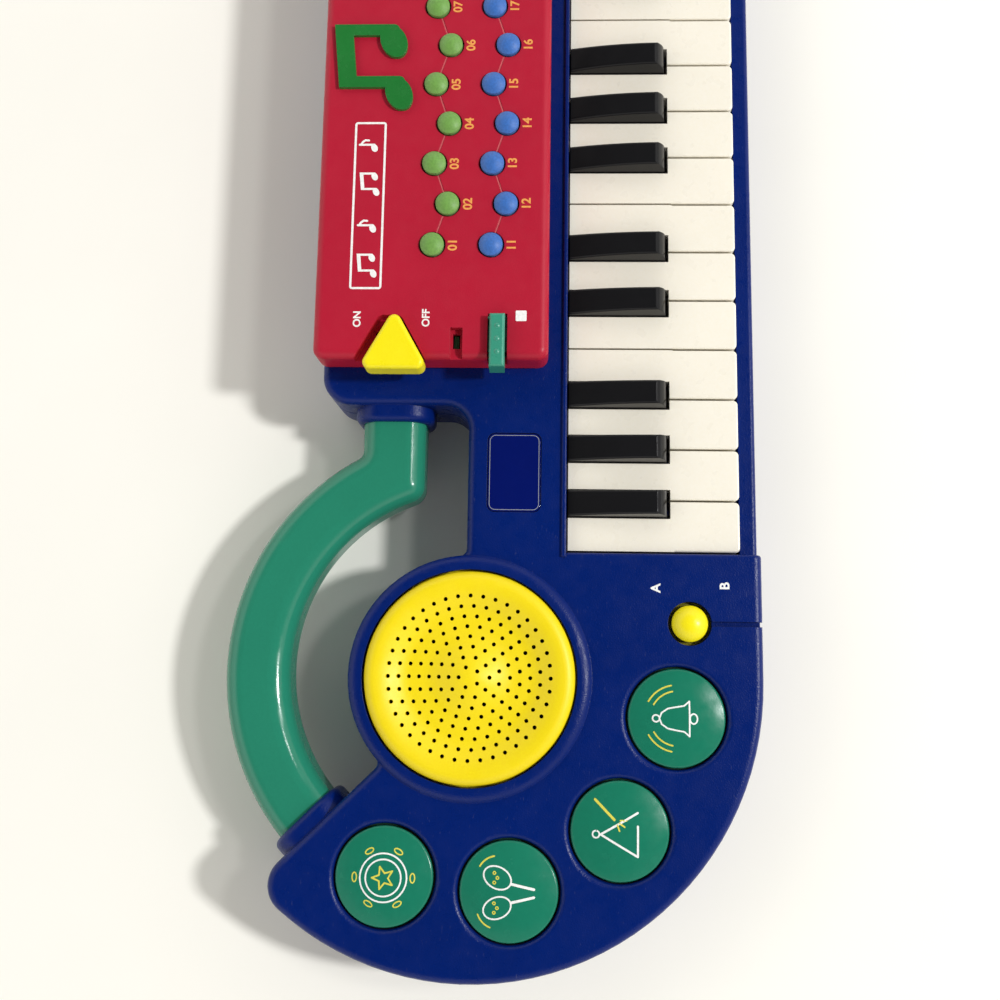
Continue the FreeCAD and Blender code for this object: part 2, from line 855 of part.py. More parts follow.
def make_loudspeaker():
    top = grille_seat
    low = top - driver_height
    magnet_top = low + magnet_height
    floor = magnet_top + basket_floor
    throat = magnet_radius - throat_inset
    opening = driver_radius - cone_edge
    basket = [
        V(0, 0, low),
        V(magnet_radius, 0, low),
        V(magnet_radius, 0, magnet_top),
        V(throat + basket_skin, 0, magnet_top),
        V(driver_radius - basket_flange, 0, top - driver_flange),
        V(driver_radius, 0, top - driver_flange),
        V(driver_radius, 0, top),
        V(opening, 0, top),
        V(throat, 0, floor),
        V(0, 0, floor),
    ]
    frame = revolve(polygon(basket).Edges, speaker_x, speaker_y)
    cone_points = [
        V(opening - cone_gap, 0, top),
        V(opening - cone_gap - cone_skin, 0, top),
        V(throat / 2.0, 0, magnet_top + cone_cap_foot),
        V(0, 0, magnet_top + cone_cap),
        V(0, 0, floor),
        V(throat - cone_gap, 0, floor),
    ]
    cone = revolve(polygon(cone_points).Edges, speaker_x, speaker_y)
    return Part.makeCompound([frame, cone])


def sector(inner, outer, start, end, z0, z1):
    ring = Part.makeCylinder(outer, z1 - z0, V(0, 0, z0), V(0, 0, 1), end - start)
    ring = ring.cut(rod(0, 0, z0, z1, inner))
    ring.rotate(V(0, 0, 0), V(0, 0, 1), start)
    ring.translate(V(speaker_x, speaker_y, 0))
    return ring


def pad_sector(margin, z0, z1):
    spread = math.degrees((pad_radius - margin) / pad_circle)
    last = pad_first_angle - pad_step_angle * (pad_count - 1)
    return sector(pad_circle - pad_radius + margin, pad_circle + pad_radius - margin,
                  last - spread, pad_first_angle + spread, z0, z1)


def mode_square(half, z0, z1):
    return box(mode_x - half, mode_x + half, mode_y - half, mode_y + half, z0, z1)


def mode_post_spot():
    return V(mode_x + mode_radius, mode_y + mode_radius, 0)


def switch_board_span():
    x0 = panel_start + wall + switch_board_gap
    return x0, x0 + switch_board_length, stop_y - stop_width, knob_y + knob_half_base


def lamp_slot(gap, z0, z1):
    half_x = notch_slot_length / 2.0 - gap
    half_y = notch_slot_width / 2.0 - gap
    return box(lamp_x - half_x, lamp_x + half_x, notch_y - half_y, notch_y + half_y, z0, z1)


def make_circuit_boards():
    boards = [box(0.0, bed_length, key_board_front, key_board_front + key_board_depth,
                  key_board_bottom, key_board_bottom + board_thickness)]
    boards.append(pad_sector(pad_board_margin, pad_board_bottom, pad_board_bottom + board_thickness))
    mode_half = mode_radius + mode_board_margin
    boards.append(mode_square(mode_half, pad_board_bottom, pad_board_bottom + board_thickness))
    x0, x1, y0, y1 = panel_board_span()
    boards.append(box(x0, x1, y0, y1, panel_board_bottom, panel_board_bottom + board_thickness))
    x0, x1, y0, y1 = switch_board_span()
    board_top = case_top + board_thickness
    switch_board = box(x0, x1, y0, y1, case_top, board_top)
    lamp = lamp_slot(lamp_gap, case_top, panel_top - notch_depth - wall / 2.0)
    boards.append(switch_board.fuse(lamp).removeSplitter())
    return Part.makeCompound(boards)


def make_contact_mats():
    low = key_board_bottom + board_thickness
    mats = [box(mat_margin, bed_length - mat_margin, key_board_front + mat_margin,
                key_board_front + key_board_depth - mat_margin, low, low + mat_thickness)]
    low = pad_board_bottom + board_thickness
    mats.append(pad_sector(pad_mat_margin, low, low + mat_thickness))
    mats.append(mode_square(mode_radius, low, low + mat_thickness))
    x0, x1, y0, y1 = panel_board_span()
    low = panel_board_bottom + board_thickness
    mats.append(box(x0 + mat_margin, x1 - mat_margin, y0 + mat_margin, y1 - mat_margin,
                    low, low + mat_thickness))
    return Part.makeCompound(mats)


def make_hinge_rail():
    x0 = key_left + side_gap
    x1 = key_right - side_gap
    bar = Part.makeCylinder(bar_radius, x1 - x0, V(x0, hinge_y, hinge_z), V(1, 0, 0))
    web = box(x0, x1, hinge_y - web_thickness / 2.0, hinge_y + web_thickness / 2.0, hinge_z, flange_bottom)
    front = hinge_y - flange_depth / 2.0
    flange = box(x0, x1, front, front + flange_depth, flange_bottom, ceiling)
    return join(bar, [web, flange])


def key_tail(x0, x1):
    width = x1 - x0
    root = box(x0, x1, key_length - tail_overlap, hinge_y - bar_radius, key_top - key_depth, tail_top)
    slot_half = web_thickness / 2.0 + web_clearance
    drop = box(x0, x1, hinge_y - hook_radius, hinge_y - slot_half, hinge_z, tail_top)
    hook = Part.makeCylinder(hook_radius, width, V(x0, hinge_y, hinge_z), V(1, 0, 0))
    tail = join(root, [drop, hook])
    bore = Part.makeCylinder(bar_radius + hinge_clearance, width, V(x0, hinge_y, hinge_z), V(1, 0, 0))
    slot = box(x0, x1, hinge_y - slot_half, hinge_y + slot_half, hinge_z, case_top)
    return tail.cut([bore, slot])


def actuator(x0, x1):
    middle = (x0 + x1) / 2.0
    half = actuator_width / 2.0
    return box(middle - half, middle + half, actuator_from_front - half, actuator_from_front + half,
               actuator_bottom, key_top - key_plate)


def make_white_key(left, right, stem_left, stem_right):
    bottom = key_top - front_lip
    head = box(left, right, 0.0, head_length, bottom, key_top)
    head = round_uprights(head, [(V(left, 0, 0), key_corner), (V(right, 0, 0), key_corner)])
    front_top = [e for e in edges_on_level(head, key_top) if e.BoundBox.YMin < key_corner / 2.0]
    head = head.makeFillet(key_edge, front_top)
    stem = box(stem_left, stem_right, head_length - over, key_length, key_top - key_depth, key_top)
    under = key_top - key_plate
    cuts = [
        box(left - over, right + over, lip_wall, key_length + over, bottom - over, key_top - key_depth),
        box(left + key_skirt, right - key_skirt, lip_wall, head_length - key_skirt, bottom - over, under),
        box(stem_left + key_skirt, stem_right - key_skirt, lip_wall, key_length - 2.0 * key_skirt,
            bottom - over, under),
    ]
    body = join(head, [stem]).cut(cuts)
    return join(body, [key_tail(stem_left, stem_right), actuator(stem_left, stem_right)])


def make_black_key(centre):
    half = black_base / 2.0
    crown = black_crown / 2.0
    front = head_length + black_front_gap
    high = key_top + black_rise
    low = key_top - key_depth
    x = centre - half
    shoulder = V(x, front + black_lean, high - black_bevel_drop)
    brow = V(x, front + black_lean + black_bevel, high)
    heel = V(x, key_length, high - black_slope)
    crest = (brow + heel) / 2.0 + V(0, 0, black_arch)
    slant = (brow - shoulder).normalize()
    cheek = (shoulder + brow) / 2.0 + V(0, -slant.z, slant.y) * black_bevel_bulge
    foot_front = V(x, front, low)
    foot_back = V(x, key_length, low)
    toe = V(x, front, key_top)
    side = [line(foot_back, foot_front), line(foot_front, toe), line(toe, shoulder),
            arc(shoulder, cheek, brow), arc(brow, crest, heel), line(heel, foot_back)]
    body = Part.Face(Part.Wire(side)).extrude(V(black_base, 0, 0))
    taper = [V(centre - half, 0, low), V(centre + half, 0, low), V(centre + half, 0, key_top),
             V(centre + crown, 0, high), V(centre - crown, 0, high), V(centre - half, 0, key_top)]
    body = body.common(extrude_polygon(taper, V(0, key_length, 0)))
    rounded = [f for f in body.Faces if f.Surface.TypeId == "Part::GeomCylinder"]
    top = max(rounded, key=lambda face: face.Area)
    rims = [e for e in top.Edges if e.BoundBox.YMin < key_length - black_edge]
    body = body.makeFillet(black_edge, rims)
    under = key_top - key_plate
    body = body.cut(box(centre - half + key_skirt, centre + half - key_skirt, front + lip_wall,
                        key_length - 2.0 * key_skirt, low - over, under))
    return join(body, [key_tail(centre - half, centre + half), actuator(centre - half, centre + half)])


def make_keys():
    blacks = {}
    for i in range(white_count - 1):
        note = octave[i % len(octave)]
        if note in black_after:
            blacks[i] = (i + 1) * key_pitch + black_after[note]
    reach = black_base / 2.0 + black_gap
    keys = {}
    number = 0
    for i in range(white_count):
        note = octave[i % len(octave)]
        left = i * key_pitch + key_gap / 2.0
        right = (i + 1) * key_pitch - key_gap / 2.0
        stem_left = blacks[i - 1] + reach if i - 1 in blacks else left
        stem_right = blacks[i] - reach if i in blacks else right
        number += 1
        keys["key_%02d_%s" % (number, note)] = make_white_key(left, right, stem_left, stem_right)
        if i in blacks:
            number += 1
            keys["key_%02d_%s_sharp" % (number, note)] = make_black_key(blacks[i])
    return keys


def make_plunger(spot, radius, shoulder, dome, underside):
    flange_top = underside - plunger_gap
    flange_low = flange_top - flange_plate
    stem_low = flange_low - stem_length
    brim = radius + flange_overlap
    sphere = (radius ** 2 + dome ** 2) / (2.0 * dome)
    half_turn = math.asin(min(1.0, radius / sphere)) / 2.0
    middle = V(sphere * math.sin(half_turn), 0, shoulder + dome - sphere * (1.0 - math.cos(half_turn)))
    corners = [
        V(0, 0, stem_low),
        V(stem_radius, 0, stem_low),
        V(stem_radius, 0, flange_low),
        V(brim, 0, flange_low),
        V(brim, 0, flange_top),
        V(radius, 0, flange_top),
        V(radius, 0, shoulder),
    ]
    edges = [line(a, b) for a, b in zip(corners, corners[1:])]
    edges.append(arc(corners[-1], middle, V(0, 0, shoulder + dome)))
    edges.append(line(V(0, 0, shoulder + dome), corners[0]))
    return revolve(edges, spot.x, spot.y)


def knob_triangle(offset, shift):
    apex = V(knob_base_x + knob_length, knob_y + shift, 0)
    left = V(knob_base_x, knob_y - knob_half_base + shift, 0)
    right = V(knob_base_x, knob_y + knob_half_base + shift, 0)
    outline = Part.Face(polygon([left, apex, right]))
    inner = outline.makeOffset2D(-knob_round)
    return inner.makeOffset2D(knob_round + offset)


def extrude_face(face, z0, z1):
    moved = face.copy()
    moved.translate(V(0, 0, z0))
    return moved.extrude(V(0, 0, z1 - z0))


def make_power_slider():
    knob = extrude_face(knob_triangle(0.0, 0.0), knob_bottom, knob_top)
    knob = knob.makeFillet(knob_edge, edges_on_level(knob, knob_top))
    half_x = slider_neck_x / 2.0
    half_y = slider_neck_y / 2.0
    plate_under = recess_bottom - recess_floor - knob_slide_gap
    neck = box(neck_x - half_x, neck_x + half_x, knob_y - half_y, knob_y + half_y,
               plate_under - slider_foot, knob_bottom)
    foot = box(neck_x - half_x - slider_foot_overlap / 2.0, neck_x + half_x + slider_foot_overlap,
               knob_y - half_y - slider_foot_overlap, knob_y + half_y + slider_foot_overlap,
               plate_under - slider_foot, plate_under)
    return join(knob, [neck, foot])


def make_stop_button():
    half = stop_width / 2.0
    bar = box(stop_start, stop_end, stop_y - half, stop_y + half, stop_bottom, stop_top)
    bar = bar.makeFillet(stop_round, edges_on_level(bar, stop_top))
    flange_top = panel_ceiling - plunger_gap
    inside = panel_start + wall + stop_gap
    flange = box(inside, stop_end + flange_overlap, stop_y - half - flange_overlap,
                 stop_y + half + flange_overlap, flange_top - flange_plate, flange_top)
    stem_low = case_top + board_thickness + stop_travel + press_gap
    stem = rod((inside + stop_end) / 2.0, stop_y, stem_low, flange_top, stem_radius)
    bumps = []
    for i in range(stop_bumps):
        spot = V(stop_end - (i + 1) * stop_bump_pitch, stop_y, stop_top + stop_bump_rise - stop_bump_radius)
        bumps.append(Part.makeSphere(stop_bump_radius, spot))
    return join(bar, [flange, stem] + bumps)


def engraved_line(a, b):
    half = panel_line / 2.0
    groove = box(0.0, (b - a).Length, -half, half, panel_top - half, panel_top + over)
    groove.rotate(V(0, 0, 0), V(0, 0, 1), math.degrees(math.atan2(b.y - a.y, b.x - a.x)))
    groove.translate(a)
    return groove


def make_control_panel():
    block = box(panel_start, panel_end, panel_front, panel_back, case_top, panel_top)
    corners = [V(x, y, 0) for x in (panel_start, panel_end) for y in (panel_front, panel_back)]
    block = round_uprights(block, [(corner, panel_corner) for corner in corners])
    cavity = shrink(block, case_top + over, wall)
    cavity.translate(V(0, 0, -2.0 * over))
    block = block.makeFillet(panel_round, edges_on_level(block, panel_top))
    shell = block.cut(cavity.extrude(V(0, 0, panel_rise - wall + over)))

    half_y = knob_half_base + knob_travel + wall
    added = [box(panel_start + wall / 2.0, knob_base_x + knob_length + wall, knob_y - half_y,
                 knob_y + half_y, recess_bottom - recess_floor, panel_ceiling + wall / 2.0)]
    added.append(box(panel_start + wall / 2.0, panel_start + notch_length + wall,
                     notch_y - notch_width, notch_y + notch_width,
                     panel_top - notch_depth - wall, panel_ceiling + wall / 2.0))
    inset = wall + panel_post_radius + panel_post_gap
    for x in (stop_end + 2.0 * panel_post_radius, panel_end - inset):
        for y in (panel_front + inset, panel_back - inset):
            added.append(rod(x, y, case_top, panel_ceiling + wall / 2.0, panel_post_radius))
    shell = join(shell, added)

    cuts = []
    for row in (voice_y, rhythm_y):
        for s in button_spots(row):
            cuts.append(rod(s.x, s.y, panel_ceiling - over, panel_top + over, button_radius + button_gap))
        spots = button_spots(row)
        cuts += [engraved_line(a, b) for a, b in zip(spots, spots[1:])]
    for shift in (0.0, knob_travel / 2.0, knob_travel):
        cuts.append(extrude_face(knob_triangle(knob_gap, shift), recess_bottom, panel_top + over))
    half_x = slider_neck_x / 2.0 + knob_slide_gap
    half_y = slider_neck_y / 2.0 + knob_slide_gap
    cuts.append(box(neck_x - half_x, neck_x + half_x, knob_y - half_y,
                    knob_y + half_y + knob_travel, case_top, panel_top))
    half = stop_width / 2.0 + stop_gap
    cuts.append(box(stop_start - over, stop_end + stop_gap, stop_y - half, stop_y + half,
                    stop_bottom - stop_travel - stop_gap, panel_top + over))
    half = notch_width / 2.0
    cuts.append(box(panel_start - over, panel_start + notch_length, notch_y - half,
                    notch_y + half, panel_top - notch_depth, panel_top + over))
    cuts.append(lamp_slot(0.0, case_top, panel_top))
    return shell.cut(cuts)


def make_parts():
    parts = {
        "upper_case": make_upper_case(),
        "lower_case": make_lower_case(),
        "control_panel": make_control_panel(),
        "carry_handle": handle_solid(0.0),
        "speaker_grille": make_speaker_grille(),
        "loudspeaker": make_loudspeaker(),
        "circuit_boards": make_circuit_boards(),
        "contact_mats": make_contact_mats(),
        "key_hinge_rail": make_hinge_rail(),
        "case_screws": make_case_screws(),
        "battery_cells": make_battery_cells(),
        "battery_door": make_battery_door(),
        "power_slider": make_power_slider(),
        "stop_button": make_stop_button(),
    }
    shoulder = case_top - mode_below_case
    parts["mode_button"] = make_plunger(V(mode_x, mode_y, 0), mode_radius, shoulder, mode_dome, ceiling)
    shoulder = case_top - pad_below_case
    for i, spot in enumerate(pad_spots()):
        pad = make_plunger(spot, pad_radius, shoulder, pad_dome, ceiling)
        parts["drum_pad_%d" % (i + 1)] = pad.makeFillet(pad_edge, edges_on_level(pad, shoulder))
    shoulder = panel_top + button_above_panel
    for name, row in (("voice", voice_y), ("rhythm", rhythm_y)):
        for i, spot in enumerate(button_spots(row)):
            button = make_plunger(spot, button_radius, shoulder, button_dome, panel_ceiling)
            parts["%s_button_%d" % (name, i + 1)] = button
    parts.update(make_keys())
    return parts


os.makedirs("parts", exist_ok=True)
for node, shape in make_parts().items():
    shape.translate(V(-centre_x, -centre_y, 0))
    shape.exportStep("parts/%s.step" % node)
    size = shape.optimalBoundingBox(False, False)
    lengths = "%.2f %.2f %.2f" % (size.XLength, size.YLength, size.ZLength)
    print(node, len(shape.Solids), shape.isValid(), lengths)
print("hinge axis", hinge_y - centre_y, hinge_z, "dip degrees", math.degrees(dip_angle))
print("origin", centre_x, centre_y)
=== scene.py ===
import math

import bmesh
import bpy
from mathutils import Matrix, Vector
from mathutils.geometry import delaunay_2d_cdt


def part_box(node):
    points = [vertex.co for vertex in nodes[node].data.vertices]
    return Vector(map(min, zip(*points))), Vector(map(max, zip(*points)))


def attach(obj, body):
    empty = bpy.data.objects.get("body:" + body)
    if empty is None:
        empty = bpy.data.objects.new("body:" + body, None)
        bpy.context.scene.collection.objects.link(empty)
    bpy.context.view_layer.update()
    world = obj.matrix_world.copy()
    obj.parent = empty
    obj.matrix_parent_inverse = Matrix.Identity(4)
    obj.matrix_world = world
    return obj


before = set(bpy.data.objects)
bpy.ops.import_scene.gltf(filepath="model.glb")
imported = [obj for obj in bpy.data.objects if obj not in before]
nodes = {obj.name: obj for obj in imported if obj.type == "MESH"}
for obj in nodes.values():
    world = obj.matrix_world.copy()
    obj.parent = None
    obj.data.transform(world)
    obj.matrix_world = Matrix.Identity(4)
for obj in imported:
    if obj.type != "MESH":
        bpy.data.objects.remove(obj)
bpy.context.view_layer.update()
scene = bpy.context.scene

# Units and shared names
MM = 0.001
CASE = "case"
PADS = ["drum_pad_%d" % i for i in range(1, 5)]
VOICES = ["voice_button_%d" % i for i in range(1, 9)]
RHYTHMS = ["rhythm_button_%d" % i for i in range(1, 9)]
KEYS = sorted(name for name in nodes if name.startswith("key_") and name != "key_hinge_rail")
BLACK_KEYS = [name for name in KEYS if name.endswith("_sharp")]
WHITE_KEYS = [name for name in KEYS if name not in BLACK_KEYS]

# Places read from the frame, in millimetres: the left end of the key fronts and the levels
KEY_GAP = 0.5
first_key_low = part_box("key_01_f")[0]
BED = Vector((first_key_low.x / MM - KEY_GAP / 2, first_key_low.y / MM))
PANEL_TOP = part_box("control_panel")[1].z / MM
CASE_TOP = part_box("control_panel")[0].z / MM


def centre(node):
    low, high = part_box(node)
    return (low + high) / 2 / MM


def from_bed(x, y):
    """A place on the toy, measured in millimetres from the left end of the key fronts."""
    return BED + Vector((x, y))


# Materials

def new_material(name):
    material = bpy.data.materials.new(name)
    material.use_nodes = True
    tree = material.node_tree
    return material, tree, tree.nodes["Principled BSDF"]


def object_coords(tree, stretch=(1, 1, 1)):
    place = tree.nodes.new("ShaderNodeTexCoord").outputs["Object"]
    mapping = tree.nodes.new("ShaderNodeMapping")
    mapping.inputs["Scale"].default_value = stretch
    tree.links.new(place, mapping.inputs["Vector"])
    return mapping.outputs["Vector"]


def noise(tree, coords, size, detail=2.0):
    """Cloudy noise whose patches are about that many millimetres across."""
    node = tree.nodes.new("ShaderNodeTexNoise")
    node.inputs["Scale"].default_value = 1.0 / (size * MM)
    node.inputs["Detail"].default_value = detail
    tree.links.new(coords, node.inputs["Vector"])
    return node.outputs["Fac"]


def remap(tree, value, low, high, start=0.3, end=0.7):
    node = tree.nodes.new("ShaderNodeMapRange")
    node.inputs["From Min"].default_value = start
    node.inputs["From Max"].default_value = end
    node.inputs["To Min"].default_value = low
    node.inputs["To Max"].default_value = high
    tree.links.new(value, node.inputs["Value"])
    return node.outputs["Result"]


def between(tree, share, first, second):
    """A colour between two others, each a colour or a socket."""
    node = tree.nodes.new("ShaderNodeMix")
    node.data_type = "RGBA"
    tree.links.new(share, node.inputs["Factor"])
    for key, colour in (("A", first), ("B", second)):
        socket = [s for s in node.inputs if s.name == key and s.type == "RGBA"][0]
        if isinstance(colour, tuple):
            socket.default_value = (*colour, 1.0)
        else:
            tree.links.new(colour, socket)
    return [s for s in node.outputs if s.type == "RGBA"][0]


def scaled(colour, factor):
    return tuple(min(1.0, channel * factor) for channel in colour)


def soft_edges(tree, radius):
    """Normals that round sharp moulded edges by that many millimetres."""
    node = tree.nodes.new("ShaderNodeBevel")
    node.samples = 4
    node.inputs["Radius"].default_value = radius * MM
    return node.outputs["Normal"]


# Painted shade: the near-black colour mixed into narrow gaps and recesses
PAINTED_GAP_SHADE = (0.012, 0.011, 0.01)
SCUFF_GREY = (0.75, 0.75, 0.75)


def open_sky(tree, reach):
    """How open a place is, from none in a narrow gap to one on a free face."""
    node = tree.nodes.new("ShaderNodeAmbientOcclusion")
    node.samples = 6
    node.inputs["Distance"].default_value = reach * MM
    return node.outputs["AO"]


def moulded(name, colour, roughness, grain=0.35, relief=0.25, cloud=25.0, contrast=0.08, edge=0.25,
            shine=0.5, scuffs=0.0, painted_shade_reach=0.0):
    """Moulded plastic: cloudy colour, grain, uneven gloss, soft edges, scuffs and painted shade in narrow
    gaps.
    """
    material, tree, shader = new_material(name)
    coords = object_coords(tree)
    patches = noise(tree, coords, cloud, 3.0)
    speck = noise(tree, coords, grain, 2.0)
    base = between(tree, remap(tree, patches, 0.0, 1.0), scaled(colour, 1.0 - contrast),
                   scaled(colour, 1.0 + contrast))
    base = between(tree, remap(tree, speck, 0.0, 0.12), base, scaled(colour, 1.5))
    if scuffs:
        hairs = noise(tree, object_coords(tree, (1.0, 6.0, 1.0)), 1.6, 4.0)
        worn = remap(tree, hairs, 0.0, scuffs, 0.68, 0.76)
        base = between(tree, worn, base, SCUFF_GREY)
    # Painted shade: places hemmed in within the reach are darkened towards a near-black colour
    if painted_shade_reach:
        base = between(tree, remap(tree, open_sky(tree, painted_shade_reach), 1.0, 0.0, 0.25, 0.6), base, PAINTED_GAP_SHADE)
    tree.links.new(base, shader.inputs["Base Color"])
    gloss = noise(tree, coords, 4.0, 3.0)
    tree.links.new(remap(tree, gloss, roughness - 0.05, roughness + 0.07), shader.inputs["Roughness"])
    bump = tree.nodes.new("ShaderNodeBump")
    bump.inputs["Strength"].default_value = relief
    bump.inputs["Distance"].default_value = grain * MM / 3
    tree.links.new(speck, bump.inputs["Height"])
    tree.links.new(soft_edges(tree, edge), bump.inputs["Normal"])
    tree.links.new(bump.outputs["Normal"], shader.inputs["Normal"])
    shader.inputs["Specular IOR Level"].default_value = shine
    return material


def rubber(name, colour):
    """Dull moulded rubber with a powdery surface."""
    material, tree, shader = new_material(name)
    coords = object_coords(tree)
    powder = noise(tree, coords, 0.6, 3.0)
    base = between(tree, remap(tree, powder, 0.0, 1.0), scaled(colour, 0.86), scaled(colour, 1.12))
    tree.links.new(base, shader.inputs["Base Color"])
    tree.links.new(remap(tree, noise(tree, coords, 2.0), 0.48, 0.62), shader.inputs["Roughness"])
    bump = tree.nodes.new("ShaderNodeBump")
    bump.inputs["Strength"].default_value = 0.2
    bump.inputs["Distance"].default_value = 0.1 * MM
    tree.links.new(powder, bump.inputs["Height"])
    tree.links.new(bump.outputs["Normal"], shader.inputs["Normal"])
    shader.inputs["Sheen Weight"].default_value = 0.15
    shader.inputs["Sheen Roughness"].default_value = 0.5
    return material


def ink(name, colour):
    """Screen-printed ink, slightly uneven."""
    material, tree, shader = new_material(name)
    coords = object_coords(tree)
    patches = noise(tree, coords, 0.8, 2.0)
    base = between(tree, remap(tree, patches, 0.0, 1.0), scaled(colour, 0.9), scaled(colour, 1.05))
    tree.links.new(base, shader.inputs["Base Color"])
    tree.links.new(remap(tree, patches, 0.45, 0.6), shader.inputs["Roughness"])
    return material


def metal(name, colour, roughness):
    """Brushed or plated metal with fine marks along X."""
    material, tree, shader = new_material(name)
    marks = noise(tree, object_coords(tree, (1.0, 12.0, 12.0)), 1.5, 4.0)
    base = between(tree, remap(tree, marks, 0.0, 1.0), scaled(colour, 0.85), scaled(colour, 1.1))
    tree.links.new(base, shader.inputs["Base Color"])
    tree.links.new(remap(tree, marks, roughness - 0.06, roughness + 0.1), shader.inputs["Roughness"])
    shader.inputs["Metallic"].default_value = 1.0
    return material


# The gap reach that some finishes get is how far, in millimetres, painted shade darkens their narrow gaps
BLUE = moulded("case_blue", (0.0006, 0.0125, 0.13), 0.29, grain=0.42, relief=0.6, contrast=0.05,
               scuffs=0.05, shine=0.2, painted_shade_reach=0.9)
RED = moulded("panel_red", (0.43, 0.012, 0.034), 0.38, grain=0.35, relief=0.22, contrast=0.03, shine=0.22)
HANDLE_GREEN = moulded("handle_green", (0.02, 0.218, 0.134), 0.15, grain=0.6, relief=0.05, contrast=0.03,
                       shine=0.4)
PAD_GREEN = moulded("pad_green", (0.01, 0.18, 0.107), 0.22, grain=1.5, relief=0.04, contrast=0.03,
                    shine=0.3, painted_shade_reach=1.5)
STOP_GREEN = moulded("stop_green", (0.04, 0.285, 0.19), 0.3, grain=0.5, relief=0.1, contrast=0.03)
YELLOW = moulded("grille_yellow", (0.88, 0.675, 0.006), 0.42, grain=0.5, relief=0.08, contrast=0.03,
                 shine=0.35)
KNOB_YELLOW = moulded("knob_yellow", (0.92, 0.78, 0.01), 0.3, grain=0.6, relief=0.08, contrast=0.03,
                      shine=0.35, painted_shade_reach=3.0)
KEY_WHITE = moulded("key_white", (0.89, 0.84, 0.715), 0.3, grain=0.8, relief=0.04, contrast=0.02, edge=0.15,
                    painted_shade_reach=0.5)
KEY_BLACK = moulded("key_black", (0.009, 0.009, 0.01), 0.18, grain=0.8, relief=0.03, edge=0.2, shine=0.2)
VOICE_GREEN = rubber("voice_green", (0.15, 0.34, 0.06))
RHYTHM_BLUE = rubber("rhythm_blue", (0.03, 0.14, 0.47))
MAT_GREY = rubber("mat_grey", (0.35, 0.35, 0.34))
BOARD_GREEN = moulded("board_green", (0.03, 0.16, 0.05), 0.35, grain=1.2)
HINGE_GREY = moulded("hinge_grey", (0.03, 0.03, 0.035), 0.5)
DRIVER_BLACK = moulded("driver_black", (0.012, 0.012, 0.012), 0.6, grain=0.9)
CELL_CAN = moulded("cell_can", (0.02, 0.02, 0.025), 0.25, grain=1.0, relief=0.05)
STEEL = metal("screw_steel", (0.55, 0.55, 0.57), 0.32)
PLATE_BLUE = moulded("plate_blue", (0.001, 0.006, 0.11), 0.12, grain=1.5, relief=0.02, shine=0.4)
EMBLEM_GREEN = moulded("emblem_green", (0.014, 0.17, 0.03), 0.24, grain=1.0, relief=0.08)
WHITE_INK = ink("white_ink", (0.9, 0.9, 0.88))
YELLOW_INK = ink("yellow_ink", (0.72, 0.66, 0.08))
ORANGE_INK = ink("orange_ink", (0.85, 0.36, 0.08))
PINK_INK = ink("pink_ink", (0.7, 0.12, 0.14))
# Partly painted highlight: a silver frame line that also stands in for the light along the name plate's rim
SILVER_FRAME_AND_HIGHLIGHT_INK = ink("silver_frame_and_highlight_ink", (0.3, 0.32, 0.36))

FINISH = {
    "upper_case": BLUE,
    "lower_case": BLUE,
    "battery_door": BLUE,
    "control_panel": RED,
    "carry_handle": HANDLE_GREEN,
    "stop_button": STOP_GREEN,
    "speaker_grille": YELLOW,
    "power_slider": KNOB_YELLOW,
    "mode_button": KNOB_YELLOW,
    "loudspeaker": DRIVER_BLACK,
    "circuit_boards": BOARD_GREEN,
    "contact_mats": MAT_GREY,
    "key_hinge_rail": HINGE_GREY,
    "case_screws": STEEL,
    "battery_cells": CELL_CAN,
}
FINISH.update({name: PAD_GREEN for name in PADS})
FINISH.update({name: VOICE_GREEN for name in VOICES})
FINISH.update({name: RHYTHM_BLUE for name in RHYTHMS})
FINISH.update({name: KEY_WHITE for name in WHITE_KEYS})
FINISH.update({name: KEY_BLACK for name in BLACK_KEYS})


def dress_nodes():
    for name, material in FINISH.items():
        node = nodes[name]
        node.data.materials.clear()
        node.data.materials.append(material)


# Outlines of flat marks, in millimetres

def arc(x, y, radius, start, end, steps=24):
    """Points of a circle's arc from one angle to another, in degrees."""
    points = []
    for i in range(steps + 1):
        turn = math.radians(start + (end - start) * i / steps)
        points.append(Vector((x + radius * math.cos(turn), y + radius * math.sin(turn))))
    return points


def ellipse(x, y, long, short, tilt=0.0, steps=28):
    turn = Matrix.Rotation(math.radians(tilt), 2)
    points = []
    for i in range(steps):
        angle = 2 * math.pi * i / steps
        points.append(Vector((x, y)) + turn @ Vector((long * math.cos(angle), short * math.sin(angle))))
    return points


def stroke(points, width):
    """The outline of a smooth open line drawn with a round pen."""
    points = [Vector(p) for p in points]
    left = []
    right = []
    for i, point in enumerate(points):
        before = points[max(i - 1, 0)]
        after = points[min(i + 1, len(points) - 1)]
        along = (after - before).normalized()
        side = Vector((-along.y, along.x)) * width / 2
        left.append(point + side)
        right.append(point - side)
    caps = []
    for tip, start in ((points[-1], left[-1]), (points[0], right[0])):
        angle = math.degrees(math.atan2(start.y - tip.y, start.x - tip.x))
        caps.append(arc(tip.x, tip.y, width / 2, angle, angle - 180, 6)[1:-1])
    return left + caps[0] + right[::-1] + caps[1]


def ring(points, width):
    """A closed line, as two open strokes that meet."""
    half = len(points) // 2
    return [stroke(points[:half + 1], width), stroke(points[half:] + points[:1], width)]


def polyline(points, width):
    """A line with sharp corners, as one stroke for each run."""
    return [stroke([a, b], width) for a, b in zip(points, points[1:])]


